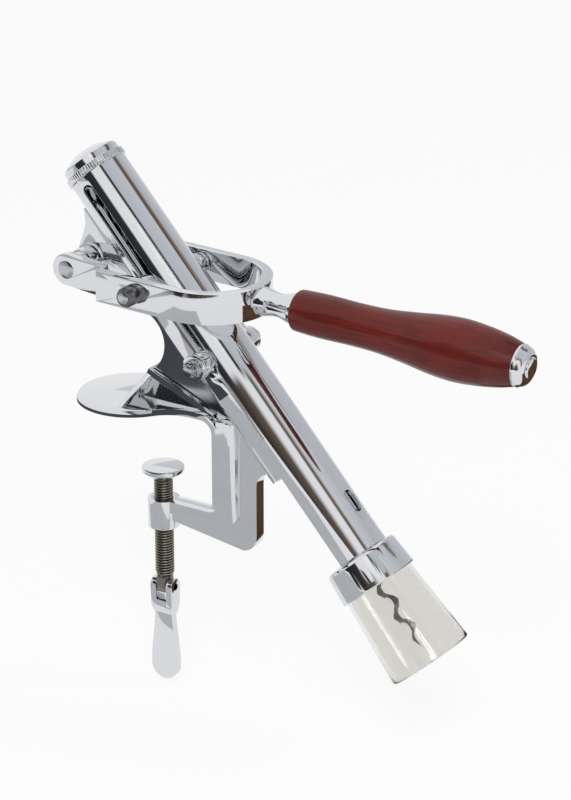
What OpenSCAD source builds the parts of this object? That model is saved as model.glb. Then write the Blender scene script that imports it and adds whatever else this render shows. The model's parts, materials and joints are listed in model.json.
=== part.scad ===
/*
  Counter mount corkscrew, in millimetres.
  +Z is up, +Y runs into the counter and -Y towards the user. The origin is where
  the clamp screw's axis meets the underside of the foot, so the counter top is
  Z = 0. The barrel leans back; bell, collar, barrel and mechanism are drawn in the
  barrel's own frame, which starts at the bell's mouth: z runs up the barrel's
  axis, y towards its back. The lever is drawn about its pivot, with -y forward.
*/

/* [Stance] */
// Lean of the barrel back from upright, in degrees
barrel_tilt = 41.5; // [40:0.5:43]
// How far the bell's mouth sits in front of the clamp screw
mouth_reach = 187; // [185:1:190]
// How far the bell's mouth sits below the counter top
mouth_drop = 121; // [119:1:123]

/* [Barrel] */
// Outer radius of the barrel tube
barrel_r = 18.5; // [18:0.1:19]
// Thickness of the barrel's wall
barrel_wall = 2.2; // [1.8:0.1:2.6]
// Height of the barrel's lower end above the bell's mouth
barrel_start = 60; // [59:0.5:61]
// Height of the barrel's upper end above the bell's mouth
barrel_end = 346; // [344:1:352]
// Width of the two side slots
slot_w = 7.8; // [7.8:0.1:8.6]
// Lower end of the side slots
slot_start = 205.7; // [203:0.5:206]
// Upper end of the side slots
slot_end = 341; // [330:1:341]
// Width of the small window at the front
window_w = 9; // [7:0.5:11]
// Length of the small window at the front
window_len = 14.5; // [12:0.5:18]
// Height of the window's middle
window_at = 102; // [98:1:106]
// Upper end of the stretch whose back is cut away
back_cut_end = 136; // [134:1:140]
// How far behind the axis that cut starts
back_cut_from = 1.5; // [1:0.25:6]
// Distance of the side plates' flat faces from the middle plane
side_plate_to = 19.7; // [19.4:0.1:19.9]
// Width of the side plates
side_plate_w = 10; // [8:0.5:12]
// How far the side plates' middle lies behind the barrel's axis
side_plate_back = 1.2; // [0:0.1:2]
// Lower end of the side plates
side_plate_start = 160; // [150:1:165]
// Upper end of the side plates
side_plate_end = 205; // [195:1:206]

/* [Cap] */
// Radius of the knurled ring
cap_ring_r = 19.4; // [19.1:0.1:19.9]
// Height of the knurled ring
cap_ring_h = 4.5; // [3.5:0.5:6]
// Ridges round the knurled ring
cap_ridges = 72; // [48:4:90]
// Radius of the cap's smooth body
cap_body_r = 18.1; // [17:0.1:18.6]
// Height of the cap's smooth body, dome included
cap_body_h = 10; // [8:0.5:13]

/* [Bell and collar] */
// Outer radius of the clear bell at its mouth
bell_mouth_r = 25.9; // [25:0.1:27]
// Outer radius of the bell where the collar grips it
bell_neck_r = 22; // [21.6:0.1:22.4]
// Thickness of the bell's wall
bell_wall = 2; // [1.6:0.1:2.3]
// Height of the collar's lower edge above the mouth
collar_start = 53.6; // [50:0.2:55]
// Height of the collar's upper edge above the mouth
collar_end = 74; // [73:0.5:76]
// Radius of the collar at its lower edge
collar_low_r = 24.7; // [24.2:0.1:25.4]
// Radius of the collar at its upper edge
collar_top_r = 23.1; // [22:0.1:23.9]
// Depth of the bell's neck inside the collar
bell_socket = 12.4; // [11:0.2:13]

/* [Worm and drive] */
// Outer radius of the worm
worm_r = 4.4; // [4:0.1:4.8]
// Radius of the worm's wire
worm_wire_r = 1.5; // [1.2:0.1:1.8]
// Height gained in one turn of worm and quill
worm_lead = 17; // [14:0.5:20]
// Height of the worm's tip above the bell's mouth, at rest
worm_tip = 9; // [6:0.5:14]
// Height where worm and quill meet, at rest
worm_end = 68; // [64:1:72]
// Radius of the fluted quill
quill_r = 4.2; // [3.8:0.1:4.4]
// Depth of the quill's flutes
quill_flute = 0.8; // [0.5:0.1:1.2]
// Lower face of the drive nut
nut_start = 76; // [75:0.5:78]
// Upper face of the drive nut
nut_end = 114; // [112:1:118]
// Gap round worm and quill in the drive nut
drive_gap = 0.15; // [0.1:0.05:0.3]

/* [Carrier] */
// Gap between carrier and barrel bore
carrier_gap = 0.08; // [0.05:0.01:0.1]
// Lower end of the carrier, at rest
carrier_start = 137; // [132:1:142]
// Upper end of the carrier, at rest
carrier_end = 226; // [222:1:232]
// Radius of the quill's thrust collar
thrust_r = 8; // [7:0.1:9]
// Height of the quill's thrust collar
thrust_h = 6; // [4:0.5:8]
// Radius of the nut that closes the thrust chamber
thrust_nut_r = 11; // [10:0.1:12.5]
// Height of that nut
thrust_nut_h = 6; // [4:0.5:8]
// Play of the thrust collar, above and below
thrust_play = 0.15; // [0.1:0.05:0.25]

/* [Linkage] */
// Distance of the lever's pivot behind the barrel's axis
pivot_back = 38; // [37:0.5:39]
// Height of the lever's pivot along the barrel
pivot_at = 308.7; // [306:0.1:311]
// Distance from the lever's pivot to the fork pins
crank_len = 52.4; // [51.5:0.1:54]
// Distance between the two eyes of a link
link_len = 54.9; // [54:0.1:56.5]
// Height of the cross pin along the barrel, at rest
cross_pin_at = 216.5; // [215:0.1:218]
// Radius of the cross pin
cross_pin_r = 3.8; // [3.4:0.1:3.8]
// Distance of the links' inner faces from the middle plane
link_from = 20.3; // [20.1:0.1:20.6]
// Thickness of a link's eyes
link_thick = 7.7; // [6.5:0.1:8]
// Radius of the links' eyes
link_eye_r = 8; // [7:0.1:8.5]
// Width of the links' bars
link_bar_w = 10; // [8:0.5:12]
// Thickness of the links' bars
link_bar_t = 5.5; // [4:0.5:6.5]
// Gap between a turning eye and what it turns on
turn_gap = 0.05; // [0.03:0.01:0.08]
// Gap between two faces that slide past each other
face_gap = 0.3; // [0.15:0.05:0.4]

/* [Cross pin ends] */
// Radius of the washers outside the links
washer_r = 7.8; // [7:0.1:9]
// Thickness of those washers
washer_t = 1.8; // [1:0.1:2.5]
// Radius of the retaining clips
clip_r = 5.3; // [4.8:0.1:6]
// Thickness of the retaining clips
clip_t = 3.6; // [2:0.2:4]
// Length of pin that stands out past the clips
pin_tail = 3; // [1:0.5:4]

/* [Lever fork] */
// Droop of the lever below level, in degrees
lever_droop = 2.1; // [0:0.1:4]
// How far the lever's middle plane lies below its pivot
lever_sink = 2.2; // [1:0.1:3]
// Distance of the fork arms' inner faces from the middle plane
arm_from = 31.5; // [31.5:0.1:33]
// Thickness of the fork's bar
arm_t = 6; // [5:0.1:7]
// Height of the fork's bar
arm_h = 18.5; // [16:0.5:20]
// Distance from the pivot to the inside of the ring's front
ring_reach = 112; // [110:1:118]
// Distance of the ears' inner faces from the middle plane
ear_from = 24; // [24:0.1:25]
// Radius of the ears' round ends
ear_r = 9.5; // [9:0.1:10.5]
// Distance from the pivot to the step between ear and arm
ear_len = 25; // [24:0.5:26]
// Radius of the pivot pin
pivot_pin_r = 5.4; // [5:0.1:6]
// Radius of the fork pins
fork_pin_r = 3.6; // [3:0.1:4]
// Radius of the fork pins' round nuts
fork_nut_r = 5.9; // [5.2:0.1:6.8]
// Length of those nuts
fork_nut_len = 7.5; // [6:0.5:12]
// Radius of the nuts' turned tips
fork_tip_r = 4.9; // [4.4:0.1:5.1]
// Length of the nuts' turned tips
fork_tip_len = 1; // [0.5:0.5:3]

/* [Handle] */
// Distance from the pivot to the start of the grip
grip_from = 141.7; // [138:0.5:150]
// Length of the grip
grip_len = 142.5; // [130:0.5:155]
// Diameter of the grip at both ends
grip_end_d = 24.5; // [22:0.5:26]
// Diameter of the grip at its waist
grip_waist_d = 25; // [23:0.5:27]
// Diameter of the grip at its belly
grip_belly_d = 36.1; // [33:0.1:38]
// Radius of the neck where it leaves the ring
neck_root_r = 8.7; // [7.5:0.1:9]
// Radius of the neck at its waist
neck_waist_r = 7.1; // [6:0.1:8]
// Radius of the neck where it meets the grip
neck_end_r = 9.4; // [8.5:0.1:10.5]
// Radius of the rod that holds the grip
tie_rod_r = 4; // [3:0.1:5]
// Height of the end cap's dome
end_cap_h = 7; // [5:0.5:9]
// Radius of the plain button on the end cap
button_r = 6.2; // [5:0.1:8]

/* [Clamp frame] */
// Radius of the foot
foot_r = 34; // [32:0.5:37]
// How far behind the clamp screw the foot's middle lies
foot_back = 21; // [19:0.5:23]
// Thickness of foot and strap
strap_t = 4; // [3.5:0.1:5]
// Half the width of the strap that bends over the counter's edge
strap_half = 10; // [9:0.1:11]
// Distance from the clamp screw to the counter's front edge
edge_reach = 42; // [41:0.5:43]
// Inner radius of the bend over the counter's edge
bend_r = 8; // [6:0.5:10]
// Half the thickness of the web
web_half = 4; // [3.5:0.1:4.5]
// Half the thickness of the raised rims
rim_half = 7; // [6:0.1:8]
// Width of the raised rims
rim_w = 4; // [3:0.5:5]
// Depth of the front rib ahead of the strap
rib_depth = 12; // [10:0.5:13]
// How far the front rib reaches below the counter top
rib_drop = 63.5; // [60:0.5:66]
// How far the throat of the clamp reaches below the counter top
throat_drop = 60.5; // [58:0.5:64]
// Reach of the seat screws behind the barrel's axis
seat_back = 28; // [26:0.5:30]
// Radius of the hub that carries the lever's pivot
hub_r = 9.5; // [8.5:0.1:10]
// Radius of the seat screws
seat_screw_r = 1.5; // [1.2:0.1:1.7]
// Height of the lowest seat screw
seat_screw_at = 178; // [172:1:184]
// Distance between seat screws
seat_screw_step = 45; // [40:1:50]
// Half the span of the rib across the foot
foot_rib_half = 28.6; // [24:0.2:30]
// Thickness of that rib
foot_rib_t = 3; // [2.5:0.5:4]

/* [Clamp screw and paddle] */
// Outer radius of the clamp screw's thread
screw_r = 5.9; // [5.5:0.1:6.2]
// Radius of the boss round the clamp screw
boss_r = 9.7; // [8.5:0.1:10.5]
// Height of that boss
boss_h = 18.5; // [16:0.5:20]
// Depth of the pad's face below the counter top, at rest
pad_drop = 40; // [38:0.5:42]
// Radius of the pad
pad_r = 13; // [11:0.5:15]
// Thickness of the pad
pad_t = 6; // [5:0.5:7]
// Depth of the clevis' top below the counter top
clevis_drop = 113; // [112:0.5:115]
// Half the clevis' width along the paddle's pin
clevis_half = 7.75; // [7.25:0.25:8.25]
// Half the clevis' depth across the paddle's pin
clevis_depth = 6; // [5.5:0.1:6.5]
// Width of the clevis' slot
clevis_slot = 7; // [6:0.1:7.5]
// Depth of the paddle's pin below the clevis' top
paddle_pin_drop = 6.5; // [6.2:0.1:7.2]
// Radius of the paddle's pin
paddle_pin_r = 2.4; // [2:0.1:2.7]
// Length of the paddle below its pin
paddle_len = 63.5; // [55:0.5:70]
// Half the width of the paddle's broad end
paddle_half = 9.4; // [8:0.1:11]
// Thickness of the paddle
paddle_t = 6.5; // [5:0.1:7]

/* [Hidden] */

chrome = "#d9dcdf";
steel = "#a9acb0";
dull_steel = "#8d9094";
red_wood = "#6b1a12";
clear_acrylic = "#dfe6ea";
black_rubber = "#26272a";

// A cut runs this far past what it cuts
past = 1;
round_fn = 96;
small_fn = 48;

// Row-frame Y and Z of a point of the barrel's frame
function at_barrel(up, back) = [
    -mouth_reach + up * sin(barrel_tilt) + back * cos(barrel_tilt),
    -mouth_drop + up * cos(barrel_tilt) - back * sin(barrel_tilt)
];
// Points of an arc, from one angle to another, for outlines
function arc(centre, r, from, to, steps = 12) = [
    for (i = [0:steps]) let (a = from + (to - from) * i / steps) centre + r * [cos(a), sin(a)]
];
// Smooth step from 0 to 1
function ease(t) = (1 - cos(180 * t)) / 2;

barrel_bore_r = barrel_r - barrel_wall;
pivot = at_barrel(pivot_at, pivot_back);

// The fork pin is where the crank's circle about the pivot meets the link's about the cross pin
pin_to_pivot = [pivot_back, pivot_at - cross_pin_at];
pin_gap = norm(pin_to_pivot);
link_along = (link_len * link_len - crank_len * crank_len + pin_gap * pin_gap) / (2 * pin_gap);
link_aside = sqrt(link_len * link_len - link_along * link_along);
fork_pin_back = (link_along * pin_to_pivot[0] - link_aside * pin_to_pivot[1]) / pin_gap;
fork_pin_up = (link_along * pin_to_pivot[1] + link_aside * pin_to_pivot[0]) / pin_gap;
fork_pin = at_barrel(cross_pin_at + fork_pin_up, fork_pin_back);
link_lean = atan2(fork_pin_back, fork_pin_up);

arm_to = arm_from + arm_t;
ear_to = ear_from + arm_t;
ring_middle = ring_reach - arm_from;
ring_front = ring_reach + arm_t;
link_to = link_from + link_thick;
washer_from = link_to + face_gap / 2;
clip_from = washer_from + washer_t;
cross_pin_half = clip_from + clip_t + pin_tail;
fork_nut_to = arm_to + fork_nut_len + fork_tip_len;
boss_top = -throat_drop;
boss_bottom = -throat_drop - boss_h;
paddle_pin_z = -clevis_drop - paddle_pin_drop;

// ---- frames of reference -------------------------------------------------

// Draws in the barrel's frame
module in_barrel() {
    translate([0, -mouth_reach, -mouth_drop]) rotate([-barrel_tilt, 0, 0]) children();
}

// Draws about the lever's pivot, -y forward
module in_lever() {
    translate([0, pivot[0], pivot[1]]) rotate([lever_droop, 0, 0]) children();
}

// Draws on the grip's axis, z forward from the pivot
module on_grip_axis() {
    in_lever() translate([0, 0, -lever_sink]) rotate([90, 0, 0]) children();
}

// Extrudes an outline of the side view, its x along Y and its y along Z, equally to both sides
module side_slab(half) {
    rotate([90, 0, 90]) linear_extrude(2 * half, center = true) children();
}

// A cylinder along X from one x to another
module x_rod(from, to, r) {
    translate([from, 0, 0]) rotate([0, 90, 0]) cylinder(r = r, h = to - from, $fn = small_fn);
}

// A straight slot with round ends along z, cut along y
module y_slot(w, from, to, depth) {
    translate([-w / 2, -depth, from + w / 2]) cube([w, 2 * depth, to - from - w]);
    for (z = [from + w / 2, to - w / 2]) translate([0, 0, z]) rotate([90, 0, 0])
        cylinder(r = w / 2, h = 2 * depth, center = true, $fn = small_fn);
}

// ---- clamp frame ---------------------------------------------------------

tip_up = 141;
front_y = -edge_reach - strap_t - rib_depth;
plate_front = front_y - 11.5;
plate_low = boss_bottom - 1.6;
corner_r = 11;
throat_r = 6;
apex = [4.6, 23.9];
gusset_rear = [14.3, strap_t - 1];
gusset_front = [-edge_reach, strap_t];

// Outline of the upper web, from the foot to the lever's pivot and along the barrel
module upper_web_outline() {
    polygon(concat(
        [gusset_front, gusset_rear],
        arc([14.7, 39.4], 19.9, 236, 123, 14),
        [
            at_barrel(pivot_at - 28.7, pivot_back - 5),
            at_barrel(pivot_at - 9, pivot_back + 6),
            at_barrel(pivot_at + 6, pivot_back + 8),
            at_barrel(pivot_at + 10, pivot_back + 4),
            at_barrel(pivot_at + 13.5, pivot_back - 3),
            at_barrel(pivot_at + 18, pivot_back - 10.5),
            at_barrel(pivot_at + 25.5, pivot_back - 16),
            at_barrel(pivot_at + 25.5, barrel_r - 3),
            at_barrel(tip_up + 20, barrel_r - 3)
        ]
    ));
}

// Outline of the lower plate, from the barrel's back down to the clamp's jaw
module lower_plate_outline() {
    polygon(concat(
        [at_barrel(tip_up + 40, barrel_r - 3), at_barrel(tip_up, barrel_r - 3), at_barrel(tip_up, barrel_r)],
        arc([plate_front - 10, -37], 10, 80, 0, 8),
        arc([plate_front + corner_r, plate_low + corner_r], corner_r, 180, 262, 8),
        [[-boss_r, boss_bottom + 6], [0, boss_bottom + 6], [0, boss_top], [-edge_reach, boss_top]],
        [[-edge_reach, 0], gusset_front]
    ));
}

// The throat of the clamp, which holds the counter, with a round inner corner
module throat_outline() {
    corner = [-edge_reach + throat_r, -throat_drop + throat_r];
    difference() {
        translate([-edge_reach, -throat_drop]) square([200, throat_drop]);
        difference() {
            translate([-edge_reach - past, -throat_drop - past]) square([throat_r + past, throat_r + past]);
            translate(corner) circle(r = throat_r, $fn = small_fn);
        }
        difference() {
            translate([-edge_reach - past, -bend_r]) square([bend_r + past, bend_r + past]);
            translate([-edge_reach + bend_r, -bend_r]) circle(r = bend_r, $fn = small_fn);
        }
    }
}

// Raised L-shaped border round the throat
module jaw_rim_outline() {
    difference() {
        polygon(concat(
            [[-boss_r + 3, boss_top], [-boss_r + 3, boss_top - 7.3]],
            arc([front_y + 13, boss_top - 1.3], 6, 270, 190, 6),
            [[front_y + 6, -40], [-edge_reach, -40]],
            [[-edge_reach, boss_top + 12], [-edge_reach + 12, boss_top]]
        ));
        throat_outline();
    }
}

// Side view of the strap that bends over the counter's edge
module strap_outline() {
    centre = [-edge_reach + bend_r, -bend_r];
    polygon(concat(
        [[0, strap_t]],
        arc(centre, bend_r + strap_t, 90, 180),
        [[-edge_reach - strap_t, -rib_drop + 8], [-edge_reach, -rib_drop + 8]],
        arc(centre, bend_r, 180, 90),
        [[0, 0]]
    ));
}

// Plan of the foot, a disc that necks into the strap with two round fillets
module foot_neck_outline() {
    fillet_r = foot_r - strap_half;
    fillet_y = foot_back - sqrt(pow(foot_r + fillet_r, 2) - pow(foot_r, 2));
    share = foot_r / (foot_r + fillet_r);
    join = [foot_r * share, foot_back + (fillet_y - foot_back) * share];
    difference() {
        polygon([[-foot_r, fillet_y], [foot_r, fillet_y], join, [0, foot_back], [-join[0], join[1]]]);
        for (side = [-1, 1])
            translate([side * foot_r, fillet_y]) circle(r = fillet_r, $fn = round_fn);
    }
}

// A raised rim between two points of the side view, with its outer face on the line
module rim(from, to) {
    along = (to - from) / norm(to - from);
    inward = [-along[1], along[0]] * rim_w;
    side_slab(rim_half) polygon([from, to, to + inward, from + inward]);
}

// Rib across the foot, which leans forward from the foot's edges up to the gusset's apex
module foot_rib() {
    rise = apex - gusset_rear;
    lean = atan2(-rise[0], rise[1]);
    translate([0, gusset_rear[0], gusset_rear[1]]) rotate([90 + lean, 0, 0]) linear_extrude(foot_rib_t)
        polygon([
            [-foot_rib_half, -past], [foot_rib_half, -past], [foot_rib_half, 0.3],
            [rim_half / 2, norm(rise)], [-rim_half / 2, norm(rise)], [-foot_rib_half, 0.3]
        ]);
}

// Front rib, half-round at its foot, that stiffens the strap
module front_rib() {
    corner = 5.5;
    mid_y = front_y + rib_depth / 2;
    top = strap_t - 3;
    intersection() {
        translate([0, 0, -rib_drop]) linear_extrude(rib_drop + top) union() {
            translate([-strap_half + corner, front_y]) square([2 * (strap_half - corner), rib_depth + past]);
            translate([-strap_half, front_y + corner]) square([2 * strap_half, rib_depth + past - corner]);
            for (side = [-1, 1]) translate([side * (strap_half - corner), front_y + corner])
                circle(r = corner, $fn = small_fn);
        }
        side_slab(strap_half + past) union() {
            translate([mid_y, -rib_drop + rib_depth / 2]) circle(r = rib_depth / 2, $fn = small_fn);
            translate([mid_y, -rib_drop + past]) square([rib_depth, rib_depth]);
            translate([front_y, -rib_drop + rib_depth / 2]) square([rib_depth + past, rib_drop]);
        }
    }
}

module clamp_frame() {
    color(chrome) difference() {
        union() {
            side_slab(web_half) difference() {
                union() {
                    upper_web_outline();
                    lower_plate_outline();
                }
                throat_outline();
            }
            side_slab(strap_half) strap_outline();
            linear_extrude(strap_t) foot_neck_outline();
            translate([0, foot_back, 0]) rotate_extrude($fn = round_fn) polygon([
                [0, 0], [foot_r, 0], [foot_r, 2], [foot_r - 1, 3.2], [foot_r - 5, strap_t], [0, strap_t + 1]
            ]);
            front_rib();
            side_slab(web_half + 1.5) jaw_rim_outline();
            rim(apex, gusset_front + [0, 1]);
            foot_rib();
            translate([0, 0, boss_bottom]) cylinder(r = boss_r, h = boss_h, $fn = round_fn);
            in_barrel() translate([0, pivot_back, pivot_at]) {
                x_rod(-rim_half, rim_half, hub_r);
                x_rod(-rim_half - 8, rim_half + 8, hub_r - 1.4);
                x_rod(-ear_from + face_gap, ear_from - face_gap, hub_r - 2.6);
            }
        }
        in_barrel() {
            translate([0, 0, barrel_start]) cylinder(r = barrel_r, h = barrel_end, $fn = round_fn);
            translate([0, pivot_back, pivot_at]) x_rod(-ear_from, ear_from, pivot_pin_r + turn_gap);
            seat_screw_set();
        }
        translate([0, 0, boss_bottom - past])
            cylinder(r = screw_r + turn_gap, h = boss_h + 2 * past, $fn = small_fn);
    }
}

// ---- barrel --------------------------------------------------------------

// The countersunk screws that hold the barrel on the web, with their heads sunk in the bore
module seat_screw_set() {
    head_r = 2 * seat_screw_r;
    for (i = [0:2]) translate([0, 0, seat_screw_at + i * seat_screw_step])
        rotate([-90, 0, 0]) translate([0, 0, barrel_bore_r + 0.1]) {
            cylinder(r = seat_screw_r, h = seat_back - barrel_bore_r, $fn = small_fn);
            cylinder(r1 = head_r, r2 = seat_screw_r, h = head_r - seat_screw_r, $fn = small_fn);
        }
}

module seat_screws() {
    color(steel) in_barrel() seat_screw_set();
}

module barrel() {
    color(chrome) in_barrel() difference() {
        translate([0, 0, barrel_start]) cylinder(r = barrel_r, h = barrel_end - barrel_start, $fn = round_fn);
        translate([0, 0, barrel_start - past])
            cylinder(r = barrel_bore_r, h = barrel_end - barrel_start + 2 * past, $fn = round_fn);
        rotate([0, 0, 90]) y_slot(slot_w, slot_start, slot_end, barrel_r + past);
        translate([0, -barrel_r, 0])
            y_slot(window_w, window_at - window_len / 2, window_at + window_len / 2, barrel_wall + 4);
        translate([-barrel_r - past, back_cut_from, collar_end])
            cube([2 * (barrel_r + past), barrel_r, back_cut_end - collar_end]);
        seat_screw_set();
    }
}

// Flat plates on the barrel's sides below the slots, round at their upper ends
module side_plates() {
    round_r = side_plate_w / 2;
    color(chrome) in_barrel() difference() {
        for (side = [0, 1]) mirror([side, 0, 0]) intersection() {
            translate([barrel_r - 3, side_plate_back - round_r, side_plate_start])
                cube([side_plate_to - barrel_r + 3, side_plate_w, side_plate_end - side_plate_start]);
            union() {
                translate([0, side_plate_back, side_plate_end - round_r])
                    x_rod(0, side_plate_to + past, round_r);
                translate([0, side_plate_back - round_r, side_plate_start])
                    cube([side_plate_to + past, side_plate_w, side_plate_end - side_plate_start - round_r]);
            }
        }
        translate([0, 0, barrel_start]) cylinder(r = barrel_r, h = barrel_end, $fn = round_fn);
    }
}

module barrel_cap() {
    spigot = 4;
    ridge = 0.4;
    top = barrel_end + cap_ring_h + cap_body_h;
    edge = 2.5;
    color(chrome) in_barrel() {
        translate([0, 0, barrel_end]) linear_extrude(cap_ring_h) polygon([
            for (i = [0:2 * cap_ridges - 1]) let (a = 180 * i / cap_ridges, r = cap_ring_r - (i % 2) * ridge)
                r * [cos(a), sin(a)]
        ]);
        rotate_extrude($fn = round_fn) polygon(concat(
            [[0, barrel_end - spigot], [barrel_bore_r, barrel_end - spigot], [barrel_bore_r, barrel_end]],
            [[cap_body_r, barrel_end], [cap_body_r, top - 4 - edge]],
            arc([cap_body_r - edge, top - 4 - edge], edge, 0, 62, 6),
            [[cap_body_r * 0.55, top - 0.9], [cap_body_r * 0.25, top - 0.2], [0, top]]
        ));
    }
}

module bell_collar() {
    edge = 1.2;
    color(chrome) in_barrel() rotate_extrude($fn = round_fn) polygon([
        [bell_neck_r, collar_start],
        [collar_low_r - edge / 2, collar_start],
        [collar_low_r, collar_start + edge / 2],
        [collar_top_r, collar_end - 2 * edge],
        [collar_top_r - edge, collar_end - edge / 2],
        [barrel_r + 1, collar_end],
        [barrel_r, collar_end],
        [barrel_r, collar_start + bell_socket],
        [bell_neck_r, collar_start + bell_socket]
    ]);
}

module bottle_bell() {
    lip = 0.6;
    color(clear_acrylic, 0.4) in_barrel() rotate_extrude($fn = round_fn) polygon([
        [bell_mouth_r - bell_wall + lip, 0],
        [bell_mouth_r - lip, 0],
        [bell_mouth_r, lip],
        [bell_neck_r, collar_start],
        [bell_neck_r, collar_start + bell_socket],
        [bell_neck_r - bell_wall, collar_start + bell_socket],
        [bell_neck_r - bell_wall, collar_start],
        [bell_mouth_r - bell_wall, lip]
    ]);
}

module bell_gasket() {
    gasket_len = collar_start + bell_socket - barrel_start - 1;
    color(black_rubber) in_barrel() translate([0, 0, barrel_start + 1]) difference() {
        cylinder(r = bell_neck_r - bell_wall, h = gasket_len, $fn = round_fn);
        translate([0, 0, -past]) cylinder(r = barrel_r, h = bell_socket + 2 * past, $fn = round_fn);
    }
}

// ---- drive ---------------------------------------------------------------

module drive_nut() {
    knurl = 0.5;
    knurl_count = 36;
    sleeve_r = worm_r + 2.6;
    color(steel) in_barrel() difference() {
        union() {
            translate([0, 0, nut_start]) cylinder(r = barrel_bore_r, h = 8, $fn = round_fn);
            translate([0, 0, nut_end - 4]) cylinder(r = barrel_bore_r, h = 4, $fn = round_fn);
            translate([0, 0, nut_start]) linear_extrude(nut_end - nut_start) polygon([
                for (i = [0:2 * knurl_count - 1])
                    let (a = 180 * i / knurl_count, r = barrel_bore_r - knurl - (i % 2) * knurl)
                        r * [cos(a), sin(a)]
            ]);
        }
        // Cut back where the barrel's back is open, but for a sleeve round the quill
        translate([0, 0, nut_start - past]) linear_extrude(nut_end - nut_start + 2 * past) difference() {
            translate([-barrel_r, back_cut_from]) square([2 * barrel_r, barrel_r]);
            circle(r = sleeve_r, $fn = small_fn);
        }
        translate([0, 0, nut_start - past])
            cylinder(r = worm_r + drive_gap, h = nut_end - nut_start + 2 * past, $fn = small_fn);
    }
}

module carrier() {
    carrier_r = barrel_bore_r - carrier_gap;
    chamber_top = carrier_start + thrust_nut_h + thrust_h + 2 * thrust_play;
    color(chrome) in_barrel() difference() {
        translate([0, 0, carrier_start])
            cylinder(r = carrier_r, h = carrier_end - carrier_start, $fn = round_fn);
        translate([0, 0, carrier_start - past])
            cylinder(r = thrust_nut_r, h = thrust_nut_h + past, $fn = small_fn);
        translate([0, 0, carrier_start])
            cylinder(r = thrust_r + 0.4, h = chamber_top - carrier_start, $fn = small_fn);
        translate([0, 0, carrier_start])
            cylinder(r = quill_r + 0.3, h = chamber_top + 8 - carrier_start, $fn = small_fn);
        translate([0, 0, cross_pin_at]) x_rod(-carrier_r - past, carrier_r + past, cross_pin_r);
        translate([0, 0, cross_pin_at + cross_pin_r + 2])
            cylinder(r = carrier_r - 3, h = carrier_end - cross_pin_at, $fn = small_fn);
    }
}

module thrust_nut() {
    color(steel) in_barrel() translate([0, 0, carrier_start]) difference() {
        cylinder(r = thrust_nut_r, h = thrust_nut_h, $fn = small_fn);
        translate([0, 0, -past]) cylinder(r = quill_r + 0.3, h = thrust_nut_h + 2 * past, $fn = small_fn);
    }
}

module quill() {
    collar_z = carrier_start + thrust_nut_h + thrust_play;
    fluted_to = carrier_start - 4;
    fluted_len = fluted_to - worm_end;
    flutes = 4;
    color(steel) in_barrel() {
        translate([0, 0, worm_end])
            linear_extrude(fluted_len, twist = -360 * fluted_len / worm_lead, slices = 72) polygon([
                for (i = [0:15]) let (a = i * 22.5)
                    (quill_r - quill_flute * (1 - cos(flutes * a)) / 2) * [cos(a), sin(a)]
            ]);
        translate([0, 0, fluted_to])
            cylinder(r = quill_r, h = collar_z + thrust_h + 7 - fluted_to, $fn = small_fn);
        translate([0, 0, collar_z]) cylinder(r = thrust_r, h = thrust_h, $fn = small_fn);
    }
}

// The worm is a wire wound on a helix, drawn out to a point at its tip
module worm() {
    sides = 8;
    rings = 84;
    helix_r = worm_r - worm_wire_r;
    height = worm_end - worm_tip;
    rise = worm_lead / 360;
    slope = atan2(worm_lead, 2 * PI * helix_r);
    // Share of the wire's full radius at a height above the tip
    function taper(z) = z < 14 ? 0.12 + 0.88 * z / 14 : 1;
    function ring(i) = let (z = height * i / rings, a = z / rise, r = worm_wire_r * taper(z)) [
        for (k = [0:sides - 1]) let (b = 360 * k / sides, out = r * cos(b), up = r * sin(b)) [
            (helix_r * taper(z) + out) * cos(a) + up * sin(slope) * sin(a),
            (helix_r * taper(z) + out) * sin(a) - up * sin(slope) * cos(a),
            worm_tip + z + up * cos(slope)
        ]
    ];
    points = [for (i = [0:rings]) each ring(i)];
    faces = concat(
        [[for (k = [0:sides - 1]) k]],
        [for (i = [0:rings - 1], k = [0:sides - 1]) let (a = i * sides + k, b = i * sides + (k + 1) % sides)
            [a, a + sides, b + sides]],
        [for (i = [0:rings - 1], k = [0:sides - 1]) let (a = i * sides + k, b = i * sides + (k + 1) % sides)
            [a, b + sides, b]],
        [[for (k = [sides - 1:-1:0]) rings * sides + k]]
    );
    color(steel) in_barrel() difference() {
        polyhedron(points, faces, convexity = 10);
        translate([0, 0, worm_end]) cylinder(r = 2 * worm_r, h = 2 * worm_r, $fn = small_fn);
    }
}

// ---- linkage -------------------------------------------------------------

// A link on the right side; the left one is its mirror
module link_shape() {
    bar_from = link_from + (link_thick - link_bar_t) / 2;
    boss_to = arm_from - face_gap;
    upper_eye_r = link_eye_r - 0.8;
    in_barrel() translate([0, 0, cross_pin_at]) rotate([-link_lean, 0, 0]) difference() {
        union() {
            x_rod(link_from, link_to, link_eye_r);
            translate([bar_from, -link_bar_w / 2, 0]) cube([link_bar_t, link_bar_w, link_len]);
            translate([0, 0, link_len]) x_rod(link_from, link_to, upper_eye_r);
            translate([0, 0, link_len]) x_rod(link_to, boss_to, upper_eye_r - 1.2);
        }
        x_rod(link_from - past, link_to + past, cross_pin_r + turn_gap);
    }
}

module link_left() {
    color(chrome) mirror([1, 0, 0]) link_shape();
}

module link_right() {
    color(chrome) link_shape();
}

module cross_pin() {
    color(steel) in_barrel() translate([0, 0, cross_pin_at]) {
        x_rod(-clip_from - clip_t, clip_from + clip_t, cross_pin_r);
        x_rod(-cross_pin_half, cross_pin_half, cross_pin_r - 0.5);
    }
}

module link_washers() {
    color(chrome) in_barrel() translate([0, 0, cross_pin_at])
        for (side = [0, 1]) mirror([side, 0, 0]) difference() {
            x_rod(washer_from, clip_from, washer_r);
            x_rod(washer_from - past, clip_from + past, cross_pin_r);
        }
}

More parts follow.
